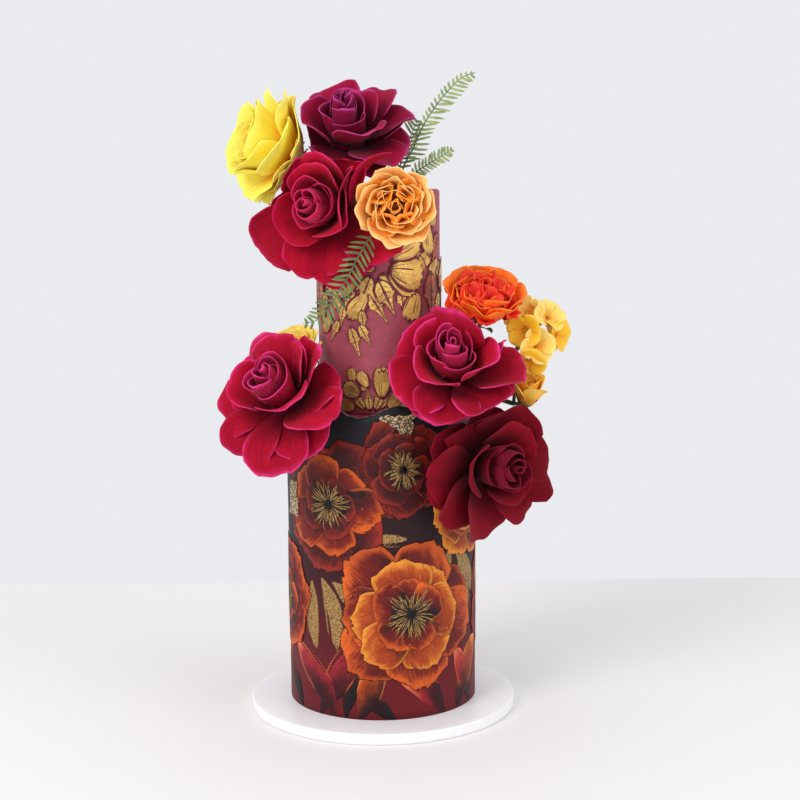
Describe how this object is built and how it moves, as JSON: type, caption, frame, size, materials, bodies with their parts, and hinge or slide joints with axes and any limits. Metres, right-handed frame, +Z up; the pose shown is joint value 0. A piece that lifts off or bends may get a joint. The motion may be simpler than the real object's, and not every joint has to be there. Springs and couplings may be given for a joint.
{
  "type": "two-tier wedding cake with flowers",
  "caption": "Tall two-tier wedding cake on a round board, with a printed wrap, a gilt stencilled top tier and a cascade of roses, blooms and fern.",
  "frame": {"origin": "centre of the cake board's underside", "axes": "+Z up along the cake's axis, front faces -Y, +X to the viewer's right"},
  "size_m": [0.297, 0.2353, 0.5466],
  "materials": {
    "board_paper": "white satin paper pleated over the edge",
    "icing": "dusty rose sugar paste with a fine crackle, gilt stencilled relief",
    "print": "matt printed icing sheet, charcoal and burgundy with amber and gold",
    "velvet_petal": "crimson velvet petals with magenta rims",
    "dark_petal": "dark red velvet petals",
    "yellow_petal": "lemon yellow petals, orange towards the base",
    "apricot_petal": "apricot petals, deeper orange inside",
    "coral_petal": "orange red petals",
    "cream_petal": "cream and golden florets",
    "amber_petal": "amber buds with pale edges",
    "fern_green": "sage green leaflets on a darker rib"
  },
  "bodies": {
    "root": {"board": "board_paper", "lower_tier": "icing", "print_wrap": "print", "upper_tier": "icing", "rose_top": "velvet_petal", "rose_front": "velvet_petal", "rose_yellow": "yellow_petal", "rose_left": "velvet_petal", "rose_right": "velvet_petal", "rose_dark": "dark_petal", "bloom_apricot": "apricot_petal", "bloom_coral": "coral_petal", "bloom_yellow": "yellow_petal", "hydrangea": "cream_petal", "rosebuds": "amber_petal", "fern_tall": "fern_green", "fern_back": "fern_green", "fern_right": "fern_green", "fern_left": "fern_green", "fern_hanging": "fern_green"}
  },
  "joints": []
}
